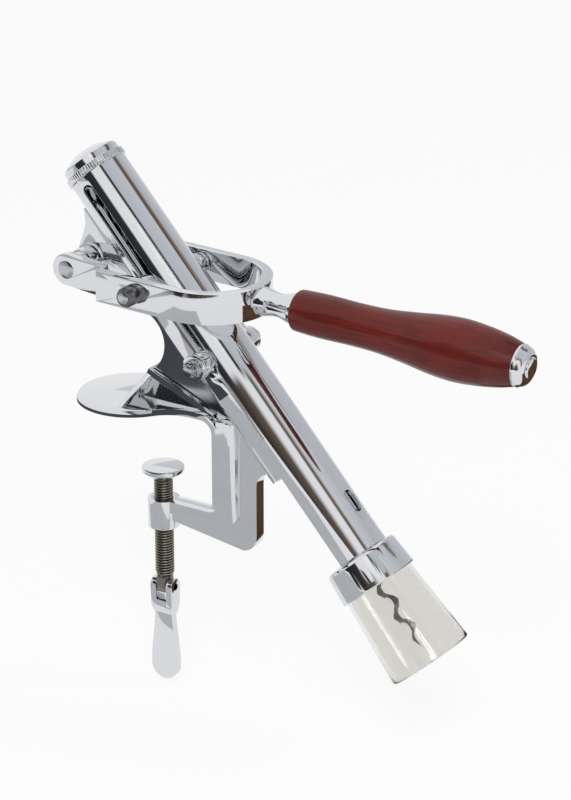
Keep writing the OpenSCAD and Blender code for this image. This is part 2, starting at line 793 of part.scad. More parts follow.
module retaining_clips() {
    color(steel) in_barrel() translate([0, 0, cross_pin_at])
        for (side = [0, 1]) mirror([side, 0, 0]) difference() {
            x_rod(clip_from, clip_from + clip_t, clip_r);
            x_rod(clip_from - past, clip_from + clip_t + past, cross_pin_r);
            translate([clip_from - past, -0.8, 0]) cube([clip_t + 2 * past, 1.6, clip_r + past]);
        }
}

// ---- lever ---------------------------------------------------------------

// Plan of the fork's outer or inner edge: x across, -y forward
module fork_plan(ear_half, arm_half, step, front) {
    slant = (arm_half - ear_half) / 4;
    polygon([
        [-ear_half, ear_r + past], [ear_half, ear_r + past], [ear_half, -step], [arm_half, -step - slant],
        [arm_half, -front], [-arm_half, -front], [-arm_half, -step - slant], [-ear_half, -step]
    ]);
    translate([0, -front]) circle(r = arm_half, $fn = round_fn);
}

module lever_fork() {
    low = -lever_sink - arm_h / 2;
    high = low + arm_h;
    neck_len = grip_from - ring_front;
    steps = 10;
    color(chrome) difference() {
        union() {
            in_lever() intersection() {
                translate([0, 0, low - arm_h]) linear_extrude(3 * arm_h) difference() {
                    fork_plan(ear_to, arm_to, ear_len, ring_middle);
                    fork_plan(ear_from, arm_from, ear_len + 1, ring_middle);
                    translate([-ear_from, ear_r]) square([2 * ear_from, 3]);
                }
                side_slab(arm_to + past) union() {
                    circle(r = ear_r, $fn = round_fn);
                    polygon([[0, ear_r], [0, -ear_r], [-ear_len - 2, low], [-ring_front - past, low],
                        [-ring_front - past, high], [-ear_len - 2, high]]);
                }
            }
            // Neck from ring to grip, waisted, with a flute along each side
            on_grip_axis() difference() {
                rotate_extrude($fn = round_fn) polygon(concat(
                    [[0, ring_front - arm_t / 2], [neck_root_r + 0.6, ring_front - arm_t / 2]],
                    [for (i = [0:steps]) let (t = i / steps, z = ring_front + neck_len * t)
                        [t < 0.45
                            ? neck_root_r + (neck_waist_r - neck_root_r) * ease(t / 0.45)
                            : neck_waist_r + (neck_end_r - neck_waist_r) * ease((t - 0.45) / 0.55), z]],
                    [[0, grip_from]]
                ));
                for (side = [-1, 1])
                    translate([side * (neck_waist_r + 2.8), 0, ring_front + neck_len / 2 + 1])
                        rotate([0, side * 4, 0])
                            cylinder(r = 4.4, h = neck_len - 8, center = true, $fn = small_fn);
            }
        }
        in_lever() x_rod(-ear_to - past, ear_to + past, pivot_pin_r);
        translate([0, fork_pin[0], fork_pin[1]]) for (side = [0, 1]) mirror([side, 0, 0])
            x_rod(arm_from + 1.5, arm_to + past, fork_pin_r);
        on_grip_axis() translate([0, 0, grip_from - 12])
            cylinder(r = tie_rod_r, h = 12 + past, $fn = small_fn);
    }
}

module pivot_pin() {
    color(steel) in_lever() x_rod(-ear_to, ear_to, pivot_pin_r);
}

module handle_tie_rod() {
    color(steel) on_grip_axis() translate([0, 0, grip_from - 12])
        cylinder(r = tie_rod_r, h = grip_len + 15, $fn = small_fn);
}

module handle_grip() {
    edge = 2;
    steps = 36;
    // Places along the grip, as shares of its length, with the diameter there
    stations = [
        [0, grip_end_d], [0.13, grip_waist_d + 0.7], [0.27, grip_waist_d], [0.4, grip_waist_d + 0.9],
        [0.53, (grip_waist_d + grip_belly_d) / 2 - 0.5], [0.64, grip_belly_d - 1.7], [0.74, grip_belly_d],
        [0.85, grip_belly_d - 2.4], [0.94, (grip_end_d + grip_belly_d) / 2 - 1], [1, grip_end_d]
    ];
    // Diameter at a share of the length, on a smooth curve through the stations
    function station(i) = stations[max(0, min(len(stations) - 1, i))];
    function slope(i) = (station(i + 1)[1] - station(i - 1)[1]) / (station(i + 1)[0] - station(i - 1)[0]);
    function diameter(t, i = 0) = i < len(stations) - 2 && t > stations[i + 1][0]
        ? diameter(t, i + 1)
        : let (w = stations[i + 1][0] - stations[i][0], s = (t - stations[i][0]) / w)
            (1 + 2 * s) * pow(1 - s, 2) * stations[i][1] + s * pow(1 - s, 2) * w * slope(i)
            + s * s * (3 - 2 * s) * stations[i + 1][1] + s * s * (s - 1) * w * slope(i + 1);
    color(red_wood) on_grip_axis() translate([0, 0, grip_from]) rotate_extrude($fn = round_fn) polygon(concat(
        [[tie_rod_r, 0], [grip_end_d / 2 - edge, 0]],
        arc([grip_end_d / 2 - edge, edge], edge, -60, 0, 4),
        [for (i = [1:steps - 1])
            let (t = i / steps, z = t * grip_len) if (z > edge + 1) [diameter(t) / 2, z]],
        [[grip_end_d / 2, grip_len], [tie_rod_r, grip_len]]
    ));
}

module handle_end_cap() {
    color(chrome) on_grip_axis() translate([0, 0, grip_from + grip_len]) difference() {
        rotate_extrude($fn = round_fn) polygon(concat(
            [[0, 0], [grip_end_d / 2, 0], [grip_end_d / 2, 1.6]],
            [for (i = [1:7]) let (a = i * 90 / 8, rim_r = grip_end_d / 2 - 0.6)
                [button_r + (rim_r - button_r) * cos(a), 1.8 + (end_cap_h - 1.8) * sin(a)]],
            [[button_r, end_cap_h - 0.3], [button_r, end_cap_h + 0.4]],
            [[button_r - 0.6, end_cap_h + 1], [0, end_cap_h + 1.3]]
        ));
        translate([0, 0, -past]) cylinder(r = tie_rod_r, h = 3 + past, $fn = small_fn);
    }
}

// A fork pin on the right side
module fork_pin_shape() {
    translate([0, fork_pin[0], fork_pin[1]]) x_rod(arm_from + 1.5, fork_nut_to + 0.5, fork_pin_r);
}

// A fork nut on the right side
module fork_nut_shape() {
    translate([0, fork_pin[0], fork_pin[1]]) difference() {
        union() {
            x_rod(arm_to, arm_to + fork_nut_len - 0.8, fork_nut_r);
            x_rod(arm_to, arm_to + fork_nut_len, fork_nut_r - 0.5);
            x_rod(arm_to, fork_nut_to, fork_tip_r);
        }
        x_rod(arm_to - past, fork_nut_to + past, fork_pin_r);
    }
}

module fork_pin_left() {
    color(steel) mirror([1, 0, 0]) fork_pin_shape();
}

module fork_pin_right() {
    color(steel) fork_pin_shape();
}

module fork_nut_left() {
    color(dull_steel) mirror([1, 0, 0]) fork_nut_shape();
}

module fork_nut_right() {
    color(dull_steel) fork_nut_shape();
}

// ---- clamp screw ---------------------------------------------------------

module clamp_pad() {
    color(chrome) translate([0, 0, -pad_drop - pad_t]) difference() {
        rotate_extrude($fn = round_fn) polygon([
            [0, 0], [pad_r - 4, 0], [pad_r, pad_t - 3], [pad_r, pad_t - 0.6], [pad_r - 0.6, pad_t], [0, pad_t]
        ]);
        translate([0, 0, -past]) cylinder(r = screw_r - 1.9 + turn_gap, h = pad_t - 2 + past, $fn = small_fn);
    }
}

module clamp_screw() {
    shoulder = -pad_drop - pad_t - face_gap;
    color(dull_steel) difference() {
        union() {
            translate([0, 0, -clevis_drop]) cylinder(r = screw_r, h = shoulder + clevis_drop, $fn = small_fn);
            translate([0, 0, shoulder]) cylinder(r = screw_r - 1.9, h = pad_t - 2, $fn = small_fn);
            intersection() {
                translate([-clevis_depth, -clevis_half, paddle_pin_z - clevis_depth])
                    cube([2 * clevis_depth, 2 * clevis_half, paddle_pin_drop + clevis_depth]);
                union() {
                    translate([0, 0, paddle_pin_z]) rotate([90, 0, 0])
                        cylinder(r = clevis_depth, h = 3 * clevis_half, center = true, $fn = small_fn);
                    translate([-clevis_depth, -clevis_half, paddle_pin_z])
                        cube([2 * clevis_depth, 2 * clevis_half, 20]);
                }
            }
        }
        translate([-clevis_depth - past, -clevis_slot / 2, paddle_pin_z - clevis_depth - past])
            cube([2 * (clevis_depth + past), clevis_slot, paddle_pin_drop + clevis_depth]);
        translate([0, 0, paddle_pin_z]) rotate([90, 0, 0])
            cylinder(r = paddle_pin_r, h = 3 * clevis_half, center = true, $fn = small_fn);
    }
}

module paddle_pin() {
    color(steel) translate([0, 0, paddle_pin_z]) rotate([90, 0, 0])
        cylinder(r = paddle_pin_r, h = 2 * clevis_half, center = true, $fn = small_fn);
}

// The paddle's tongue turns in the clevis; its blade is a flat drop
module paddle() {
    tongue = clevis_slot / 2 - face_gap / 2;
    steps = 14;
    neck = clevis_depth + 0.6;
    blade_r = paddle_half;
    middle = -paddle_len + blade_r;
    color(chrome) translate([0, 0, paddle_pin_z]) difference() {
        side_slab(paddle_t / 2) union() {
            translate([-tongue, -neck - past]) square([2 * tongue, neck + past]);
            polygon(concat(
                [for (i = [0:steps]) let (t = i / steps)
                    [tongue + 1.4 + (blade_r - tongue - 1.4) * ease(t), -neck - 1 + (middle + neck + 1) * t]],
                [for (i = [0:steps]) let (t = 1 - i / steps)
                    [-tongue - 1.4 - (blade_r - tongue - 1.4) * ease(t), -neck - 1 + (middle + neck + 1) * t]]
            ));
            translate([0, middle]) circle(r = blade_r, $fn = small_fn);
        }
        rotate([90, 0, 0])
            cylinder(r = paddle_pin_r + turn_gap, h = 4 * tongue, center = true, $fn = small_fn);
    }
    color(chrome) translate([0, 0, paddle_pin_z]) rotate([90, 0, 0]) difference() {
        cylinder(r = clevis_depth - 0.6, h = 2 * tongue, center = true, $fn = small_fn);
        cylinder(r = paddle_pin_r + turn_gap, h = 4 * tongue, center = true, $fn = small_fn);
    }
}

clamp_frame();
barrel();
barrel_cap();
bell_collar();
bottle_bell();
bell_gasket();
drive_nut();
seat_screws();
side_plates();
lever_fork();
pivot_pin();
handle_tie_rod();
handle_grip();
handle_end_cap();
fork_pin_left();
fork_pin_right();
fork_nut_left();
fork_nut_right();
link_left();
link_right();
carrier();
thrust_nut();
cross_pin();
link_washers();
retaining_clips();
quill();
worm();
clamp_screw();
clamp_pad();
paddle();
paddle_pin();
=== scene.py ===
# A counter mount corkscrew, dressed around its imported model. Metres, +Z up,
# -Y towards the user. The origin is on the counter's top, over the clamp screw.
import json
import math

import bmesh
import bpy
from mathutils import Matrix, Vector


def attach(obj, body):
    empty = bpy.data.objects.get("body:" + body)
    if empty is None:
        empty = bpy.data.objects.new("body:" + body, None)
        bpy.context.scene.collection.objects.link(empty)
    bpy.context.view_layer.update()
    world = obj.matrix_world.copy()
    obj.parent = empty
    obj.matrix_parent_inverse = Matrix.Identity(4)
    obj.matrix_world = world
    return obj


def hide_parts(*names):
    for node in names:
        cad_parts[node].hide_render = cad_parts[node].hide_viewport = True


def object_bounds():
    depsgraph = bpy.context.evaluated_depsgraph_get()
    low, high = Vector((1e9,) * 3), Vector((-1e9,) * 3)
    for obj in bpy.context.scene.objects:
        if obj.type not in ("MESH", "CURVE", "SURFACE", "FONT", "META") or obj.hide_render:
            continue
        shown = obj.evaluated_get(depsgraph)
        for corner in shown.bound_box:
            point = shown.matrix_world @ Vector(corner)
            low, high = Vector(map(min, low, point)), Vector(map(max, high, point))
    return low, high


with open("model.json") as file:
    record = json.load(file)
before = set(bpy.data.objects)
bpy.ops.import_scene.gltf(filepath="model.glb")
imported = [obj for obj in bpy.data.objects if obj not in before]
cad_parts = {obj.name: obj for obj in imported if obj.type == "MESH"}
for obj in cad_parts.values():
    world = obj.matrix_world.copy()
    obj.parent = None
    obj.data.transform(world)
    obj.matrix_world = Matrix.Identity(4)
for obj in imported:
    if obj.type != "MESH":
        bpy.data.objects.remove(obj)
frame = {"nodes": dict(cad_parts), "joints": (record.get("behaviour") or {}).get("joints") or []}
cad_low, cad_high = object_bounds()
MM = 0.001

# ---- Camera --------------------------------------------------------------
# A product camera with a long lens, which looks 32 degrees off the counter
# edge's direction and 21.5 degrees down on the barrel and the raised handle.
PHOTO_TALL_PX = 800
SENSOR_MM = 36
FOCAL_PX = 2700
CLIP_END = 20
camera_heading = math.radians(32)
camera_pitch = math.radians(21.5)
camera_place = Vector((-1.2365, -0.8599, 0.5949))


def new_object(name, data):
    """A new object, linked to the scene."""
    made = bpy.data.objects.new(name, data)
    bpy.context.scene.collection.objects.link(made)
    return made


camera = new_object("photo_camera", bpy.data.cameras.new("photo_camera"))
bpy.context.scene.camera = camera
camera.data.sensor_width = SENSOR_MM
camera.data.lens = FOCAL_PX * SENSOR_MM / PHOTO_TALL_PX
camera.data.clip_end = CLIP_END
camera_look = Vector((
    math.cos(camera_heading) * math.cos(camera_pitch),
    math.sin(camera_heading) * math.cos(camera_pitch),
    -math.sin(camera_pitch),
))
camera.location = camera_place
camera.rotation_euler = camera_look.to_track_quat("-Z", "Y").to_euler()

# ---- Floor and studio ----------------------------------------------------
# A pale floor below the hanging paddle and a white surround. They look white
# to the camera and in chrome and clear plastic, and the floor keeps a shadow.
FLOOR_GAP = 4 * MM
FLOOR_SIZE = 12
WHITE = "#FFFFFF"
FLOOR_PAINT = "#F4F4F4"
FLOOR_GLOW = 0.86


def linear(hex_code):
    """The linear colour of an sRGB hex value."""
    parts = [int(hex_code[i:i + 2], 16) / 255 for i in (1, 3, 5)]
    return [p / 12.92 if p <= 0.04045 else ((p + 0.055) / 1.055) ** 2.4 for p in parts] + [1]


def add_node(tree, kind, inputs=(), **settings):
    """Adds a node with its settings. An input, by name or number, is a value or a socket."""
    made = tree.nodes.new(kind)
    for name, value in settings.items():
        setattr(made, name, value)
    for name, value in dict(inputs).items():
        if isinstance(value, bpy.types.NodeSocket):
            tree.links.new(value, made.inputs[name])
        else:
            made.inputs[name].default_value = value
    return made


def maths(tree, operation, first, second, **settings):
    """The result of an operation on two values."""
    values = {0: first, 1: second}
    return add_node(tree, "ShaderNodeMath", values, operation=operation, **settings).outputs[0]


def mixed_shaders(tree, share, first, second):
    """A mix of two shader nodes, with a share of the second."""
    shaders = {0: share, 1: first.outputs[0], 2: second.outputs[0]}
    return add_node(tree, "ShaderNodeMixShader", shaders)


def new_material(name):
    """An empty material and its node tree."""
    material = bpy.data.materials.new(name)
    material.use_nodes = True
    material.node_tree.nodes.clear()
    return material, material.node_tree


def shade_with(tree, shader):
    """Ends a material's node tree in a shader node."""
    add_node(tree, "ShaderNodeOutputMaterial", {"Surface": shader.outputs[0]})


def seen_plainly(tree):
    """1 for rays from the camera, from metal and from clear plastic."""
    path = add_node(tree, "ShaderNodeLightPath").outputs
    total = maths(tree, "ADD", path["Is Camera Ray"], path["Is Glossy Ray"])
    return maths(tree, "ADD", total, path["Is Transmission Ray"], use_clamp=True)


def level_slab(name, x_from, x_to, y_from, y_to, height):
    """One flat level face between its limits in X and Y."""
    outline = ((x_from, y_from), (x_to, y_from), (x_to, y_to), (x_from, y_to))
    mesh = bpy.data.meshes.new(name)
    mesh.from_pydata([(x, y, height) for x, y in outline], [], [(0, 1, 2, 3)])
    return new_object(name, mesh)


half = FLOOR_SIZE / 2
floor = level_slab("studio_floor", -half, half, -half, half, cad_low.z - FLOOR_GAP)
floor_paint, tree = new_material("matt_white_floor")
diffuse = add_node(tree, "ShaderNodeBsdfDiffuse", {"Color": linear(FLOOR_PAINT)})
glow = add_node(tree, "ShaderNodeEmission", {"Color": linear(WHITE), "Strength": 1})
glow_share = maths(tree, "MULTIPLY", seen_plainly(tree), FLOOR_GLOW)
shade_with(tree, mixed_shaders(tree, glow_share, diffuse, glow))
floor.data.materials.append(floor_paint)

# The world: soft white light, and plain white where it is seen.
WORLD_STRENGTH = 0.62
world = bpy.data.worlds.new("soft_studio")
bpy.context.scene.world = world
world.use_nodes = True
tree = world.node_tree
tree.nodes.clear()
lit = add_node(tree, "ShaderNodeBackground", {"Color": linear(WHITE), "Strength": WORLD_STRENGTH})
shown = add_node(tree, "ShaderNodeBackground", {"Color": linear(WHITE), "Strength": 1})
sky = mixed_shaders(tree, seen_plainly(tree), lit, shown)
add_node(tree, "ShaderNodeOutputWorld", {"Surface": sky.outputs[0]})

# Two soft boxes, as the user sees them: one high on the left, one on the right.
lamp_target = Vector((0, -60 * MM, 0))
for name, place, size, power in (
    ("left_soft_box", (-1.6, -0.9, 1.8), 0.9, 24),
    ("right_soft_box", (0.9, -1.9, 1.1), 0.7, 9),
):
    lamp = bpy.data.lights.new(name, "AREA")
    lamp.shape = "DISK"
    lamp.size = size
    lamp.energy = power
    holder = new_object(name, lamp)
    holder.location = place
    holder.rotation_euler = (lamp_target - Vector(place)).to_track_quat("-Z", "Y").to_euler()

# ---- Painted reflection wall ---------------------------------------------
# A curved wall round the studio, seen only in the chrome, that glows in painted
# reflections: the dark and bright stripes the barrel mirrors. Each band gives a
# place and the colour there. The place is where on the barrel it is mirrored,
# from -1 on its left edge to 1 on its right.
WALL_DISTANCE = 1.5
WALL_TALL = 2.4
WALL_STEPS = 96
WALL_REACH = 0.985
LOWER_BANDS_BELOW = 20 * MM
LOWER_BANDS_FULL = -50 * MM
# Painted reflection colours for the upper barrel, then for the lower barrel.
upper_bands = (
    (-0.98, "#F4F6FA"), (-0.90, "#E9EDF4"), (-0.87, "#5C4632"), (-0.83, "#5C4632"),
    (-0.80, "#C9CBCE"), (-0.56, "#BFC1C4"), (-0.52, "#2B2B30"), (-0.24, "#37373C"),
    (-0.19, "#FFFFFF"), (0.10, "#FFFFFF"), (0.14, "#3A2E28"), (0.18, "#41352C"),
    (0.22, "#CDD1D8"), (0.60, "#D9DCE2"), (0.66, "#6B5440"), (0.70, "#76604C"),
    (0.76, "#C4C6CA"), (0.98, "#DFE1E4"),
)
lower_bands = (
    (-0.98, "#6B7078"), (-0.90, "#E3E8F2"), (-0.80, "#D4DAE6"), (-0.75, "#4F3F30"),
    (-0.58, "#5E4C3B"), (-0.53, "#B9BABA"), (-0.42, "#A7A6A4"), (-0.36, "#3A2F27"),
    (-0.08, "#6C6058"), (0.04, "#FFFFFF"), (0.20, "#FFFFFF"), (0.25, "#5F4A3A"),
    (0.29, "#8A7C70"), (0.36, "#E2E3E6"), (0.70, "#C9CCD1"), (0.98, "#D7D9DD"),
)
worm_joint = next(j for j in frame["joints"] if j["name"] == "worm_spin")
barrel_axis = Vector(worm_joint["axis"])
cross_pin_place = Vector(worm_joint["pos_m"])
barrel_right = camera_look.cross(barrel_axis).normalized()
barrel_front = barrel_right.cross(barrel_axis).normalized()
if barrel_front.dot(camera_look) > 0:
    barrel_front = -barrel_front


def mirrored_at(share):
    """Where the camera sees to, in the barrel's surface, at a share of its half width."""
    normal = barrel_right * share + barrel_front * math.sqrt(1 - share * share)
    return camera_look - 2 * camera_look.dot(normal) * normal


def only_in_chrome(card):
    """Keeps a card out of all but the mirrored view."""
    card.visible_camera = False
    card.visible_diffuse = False
    card.visible_shadow = False
    card.visible_transmission = False


def map_range(tree, value, low, high, to_low=0, to_high=1, curve="LINEAR"):
    """A value, mapped from one range to another."""
    inputs = dict(enumerate((value, low, high, to_low, to_high)))
    return add_node(tree, "ShaderNodeMapRange", inputs, interpolation_type=curve).outputs[0]


def mixed_colours(tree, share, first, second):
    """A mix of two colours, with a share of the second."""
    inputs = {0: share, 6: first, 7: second}
    return add_node(tree, "ShaderNodeMix", inputs, data_type="RGBA").outputs[2]


def glow_with(tree, colour):
    """Ends a material's node tree in the plain glow of a colour."""
    shade_with(tree, add_node(tree, "ShaderNodeEmission", {"Color": colour, "Strength": 1}))


def band_ramp(tree, bands, share):
    """A colour ramp through the bands."""
    made = add_node(tree, "ShaderNodeValToRGB", {0: share})
    stops = made.color_ramp.elements
    for i, (place, colour) in enumerate(bands):
        stop = stops[i] if i < 2 else stops.new(1)
        stop.position = (place + 1) / 2
        stop.color = linear(colour)
    return made.outputs[0]


shares = [WALL_REACH * (2 * i / WALL_STEPS - 1) for i in range(WALL_STEPS + 1)]
wall_points = []
for share_now in shares:
    middle = cross_pin_place + mirrored_at(share_now) * WALL_DISTANCE
    wall_points += [middle - barrel_axis * WALL_TALL / 2, middle + barrel_axis * WALL_TALL / 2]
wall_faces = [[2 * i, 2 * i + 2, 2 * i + 3, 2 * i + 1] for i in range(WALL_STEPS)]
wall_mesh = bpy.data.meshes.new("painted_reflection_wall")
wall_mesh.from_pydata([tuple(v) for v in wall_points], [], wall_faces)
wall_map = wall_mesh.uv_layers.new(name="bands")
for corner in wall_mesh.loops:
    at_share, upper = divmod(corner.vertex_index, 2)
    wall_map.data[corner.index].uv = ((shares[at_share] + 1) / 2, WALL_TALL * (upper - 0.5))
# The wall glows with the painted reflection bands and is seen only in the chrome.
only_in_chrome(new_object("painted_reflection_wall", wall_mesh))
# Its paint is a plain glow of the painted reflection bands, upper and lower blended along the
# barrel.
reflection_band_paint, tree = new_material("painted_reflection_bands")
wall_uv = add_node(tree, "ShaderNodeTexCoord").outputs["UV"]
spot = add_node(tree, "ShaderNodeSeparateXYZ", {0: wall_uv}).outputs
lower = map_range(tree, spot["Y"], LOWER_BANDS_BELOW, LOWER_BANDS_FULL, curve="SMOOTHSTEP")
upper_ramp = band_ramp(tree, upper_bands, spot["X"])
lower_ramp = band_ramp(tree, lower_bands, spot["X"])
glow_with(tree, mixed_colours(tree, lower, upper_ramp, lower_ramp))
wall_mesh.materials.append(reflection_band_paint)

# ---- Painted reflection cards --------------------------------------------
# Flat cards, seen only in the chrome, that glow in painted reflections of the
# dark counter and the room for the plane faces: each has its limits in X and Y,
# its height and its two colours.
REFLECTION_PATCH_SCALE = 14
REFLECTION_PATCH_DETAIL = 2


def noise(tree, place, scale, detail):
    """Soft noise from 0 to 1 over a place."""
    inputs = {"Vector": place, "Scale": scale, "Detail": detail}
    return add_node(tree, "ShaderNodeTexNoise", inputs).outputs[0]


def own_place(tree):
    """The place on an object, in its own coordinates."""
    return add_node(tree, "ShaderNodeTexCoord").outputs["Object"]


for name, x_limits, y_limits, height, near_colour, far_colour in (
    ("counter_reflection_card", (-0.115, -0.012), (-0.03, 0.16), 0.0, "#3C3F42", "#55585C"),
    ("grey_card", (-0.60, -0.03), (-0.16, 0.30), -0.160, "#BEBFC1", "#CECFD1"),
    ("brown_card", (0.06, 0.95), (-0.70, -0.12), -0.170, "#3E2E22", "#6A523C"),
):
    card = level_slab(name, *x_limits, *y_limits, height)
    only_in_chrome(card)
    # A plain glow of two painted reflection colours, mottled by noise.
    reflection_glow, tree = new_material(name + "_painted_reflection")
    patches = noise(tree, own_place(tree), REFLECTION_PATCH_SCALE, REFLECTION_PATCH_DETAIL)
    glow_with(tree, mixed_colours(tree, patches, linear(near_colour), linear(far_colour)))
    card.data.materials.append(reflection_glow)

# ---- Castings ------------------------------------------------------------
# The frame and the fork are castings, ground, polished and chrome plated. The
# polish leaves every edge a little round and the faces a little wavy.
CHROME = "#D8DADD"
SAME_POINT = 2e-6
SAME_FACE_DEG = 0.6
EDGE_DEG = 28
SMOOTH_DEG = 32
GRAIN_DETAIL = 3
WAVE_DETAIL = 1


def edit_mesh(mesh, change):
    """Opens a mesh, lets a function change it, and writes it back."""
    shape = bmesh.new()
    shape.from_mesh(mesh)
    change(shape)
    shape.to_mesh(mesh)
    shape.free()


def join_flat_faces(shape):
    """Joins the triangles of each flat face."""
    bmesh.ops.remove_doubles(shape, verts=shape.verts, dist=SAME_POINT)
    bmesh.ops.dissolve_limit(shape, angle_limit=math.radians(SAME_FACE_DEG),
                             verts=shape.verts, edges=shape.edges, delimit={"NORMAL"})


def smooth_faces(shape):
    """Shades a shape smooth except across sharp edges."""
    limit = math.radians(SMOOTH_DEG)
    for face in shape.faces:
        face.smooth = True
    for edge in shape.edges:
        edge.smooth = len(edge.link_faces) == 2 and edge.calc_face_angle(0) < limit


def round_edges(piece, width, segments):
    """Rounds a piece's edges where its faces meet at more than an angle."""
    bevel = piece.modifiers.new("round_edges", "BEVEL")
    bevel.width = width
    bevel.segments = segments
    bevel.limit_method = "ANGLE"
    bevel.angle_limit = math.radians(EDGE_DEG)
    bevel.miter_outer = "MITER_ARC"
    bevel.use_clamp_overlap = True
    bevel.harden_normals = False
    graph = bpy.context.evaluated_depsgraph_get()
    graph.update()
    piece.data = bpy.data.meshes.new_from_object(piece.evaluated_get(graph))
    piece.modifiers.clear()
    edit_mesh(piece.data, smooth_faces)


def rounded_copy(node, width, segments=2):
    """A copy of a CAD node with its flat faces joined and its edges rounded."""
    piece = new_object(node + "_finished", frame["nodes"][node].data.copy())
    piece.data.materials.clear()
    edit_mesh(piece.data, join_flat_faces)
    round_edges(piece, width, segments)
    return piece


def dress(piece, material, body, slot, *nodes):
    """Gives a piece its material and its body, and hides the CAD nodes it stands for. The slot is
    not used.
    """
    piece.data.materials.clear()
    piece.data.materials.append(material)
    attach(piece, body)
    if nodes:
        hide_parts(*nodes)


def metal(name, colour, roughness, spread, grain_mm, bump_mm, wave_mm=0, wave_bump_mm=0):
    """A bare or plated metal: fine polish marks, and for castings a slow wave."""
    material, tree = new_material(name)
    place = own_place(tree)
    grain = noise(tree, place, 1 / (grain_mm * MM), GRAIN_DETAIL)
    rough = map_range(tree, grain, 0, 1, roughness - spread, roughness + spread)
    marks = {"Height": grain, "Distance": bump_mm * MM, "Strength": 1}
    relief = add_node(tree, "ShaderNodeBump", marks).outputs[0]
    if wave_mm:
        wave = noise(tree, place, 1 / (wave_mm * MM), WAVE_DETAIL)
        swell = {"Height": wave, "Distance": wave_bump_mm * MM, "Strength": 1, "Normal": relief}
        relief = add_node(tree, "ShaderNodeBump", swell).outputs[0]
    shade_with(tree, add_node(tree, "ShaderNodeBsdfPrincipled", {
        "Base Color": linear(colour), "Metallic": 1, "Roughness": rough, "Normal": relief}))
    return material


cast_chrome = metal("polished_chrome_casting", CHROME, roughness=0.055, spread=0.02,
                    grain_mm=0.6, bump_mm=0.0006, wave_mm=9, wave_bump_mm=0.012)
frame_casting = rounded_copy("clamp_frame", 0.7 * MM, segments=3)
dress(frame_casting, cast_chrome, "frame", "chrome", "clamp_frame")
fork_casting = rounded_copy("lever_fork", 0.6 * MM, segments=3)
dress(fork_casting, cast_chrome, "lever", "chrome", "lever_fork")

# ---- Barrel --------------------------------------------------------------
# A drawn tube with milled slots, plated like the castings but truer and
# smoother, so that it mirrors in long straight bands.
tube_chrome = metal("polished_chrome_tube", CHROME, roughness=0.04, spread=0.012,
                    grain_mm=0.8, bump_mm=0.0004)
for node, edge_mm in (
    ("barrel", 0.35), ("bell_collar", 0.4), ("barrel_cap", 0.3), ("side_plates", 0.3),
):
    piece = rounded_copy(node, edge_mm * MM)
    dress(piece, tube_chrome, "frame", "chrome", node)

# ---- Clear bell ----------------------------------------------------------
# Moulded clear acrylic, 2 mm thick and polished, with a faint warm grey tint.
ACRYLIC = "#EAE9E6"
bell_acrylic, tree = new_material("clear_acrylic")
shade_with(tree, add_node(tree, "ShaderNodeBsdfPrincipled", {
    "Base Color": linear(ACRYLIC), "Roughness": 0.015, "IOR": 1.49, "Transmission Weight": 1}))
bell = rounded_copy("bottle_bell", 0.25 * MM)
dress(bell, bell_acrylic, "frame", "clear_acrylic", "bottle_bell")

# ---- Small parts ---------------------------------------------------------
# Pins, screws, clips and the quill are turned steel, ground bright. The fork
# nuts are dull nickel, and the rest is polished and plated like the castings.
STEEL = "#B9BBBE"
NICKEL = "#77777A"
turned_steel = metal("turned_steel", STEEL, roughness=0.16, spread=0.05,
                     grain_mm=0.4, bump_mm=0.0012)
dull_nickel = metal("dull_nickel_plate", NICKEL, roughness=0.24, spread=0.06,
                    grain_mm=0.5, bump_mm=0.0015)
for node, body, edge_mm in (
    ("pivot_pin", "lever", 0.25),
    ("fork_pin_left", "lever", 0.3),
    ("fork_pin_right", "lever", 0.3),
    ("handle_tie_rod", "lever", 0.2),
    ("cross_pin", "carrier", 0.3),
    ("retaining_clips", "carrier", 0.15),
    ("thrust_nut", "carrier", 0.2),
    ("drive_nut", "frame", 0.12),
    ("seat_screws", "frame", 0.1),
    ("paddle_pin", "screw", 0.2),
    ("quill", "worm", 0.1),
):
    piece = rounded_copy(node, edge_mm * MM)
    dress(piece, turned_steel, body, "steel", node)
for node in ("fork_nut_left", "fork_nut_right"):
    piece = rounded_copy(node, 0.3 * MM)
    dress(piece, dull_nickel, "lever", "nickel", node)
for node, body, edge_mm in (
    ("link_left", "links", 0.5),
    ("link_right", "links", 0.5),
    ("carrier", "carrier", 0.3),
    ("link_washers", "carrier", 0.2),
    ("clamp_pad", "pad", 0.4),
    ("handle_end_cap", "lever", 0.3),
):
    piece = rounded_copy(node, edge_mm * MM)
    dress(piece, cast_chrome, body, "chrome", node)

# ---- Worm ----------------------------------------------------------------
# A helix of flattened wire with a sharp outer edge, drawn out to a point. Its
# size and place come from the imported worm, and it rises 17 mm in each turn.
WORM_STEEL = "#6A6866"
WORM_TURN = 17 * MM
WORM_RINGS = 300
WORM_TAPER_LEN = 14 * MM
WIRE_HALF_SHARE = 0.44
WIRE_TALL_SHARE = 1.25
POINT_SHARE = 0.06
worm_section = (
    (1.0, 0.0), (0.45, 0.62), (-0.35, 0.72), (-1.0, 0.35),
    (-1.0, -0.35), (-0.35, -0.72), (0.45, -0.62),
)
worm_steel = metal("ground_worm_steel", WORM_STEEL, roughness=0.22, spread=0.05,
                   grain_mm=0.5, bump_mm=0.0015)
side_x = Vector((1, 0, 0))
side_y = barrel_axis.cross(side_x)


def along_barrel(node):
    """Where a CAD node starts and ends along the barrel's axis, and how far it stands off it."""
    spots = [v.co - cross_pin_place for v in frame["nodes"][node].data.vertices]
    ups = [p.dot(barrel_axis) for p in spots]
    return min(ups), max(ups), max((p - barrel_axis * p.dot(barrel_axis)).length for p in spots)


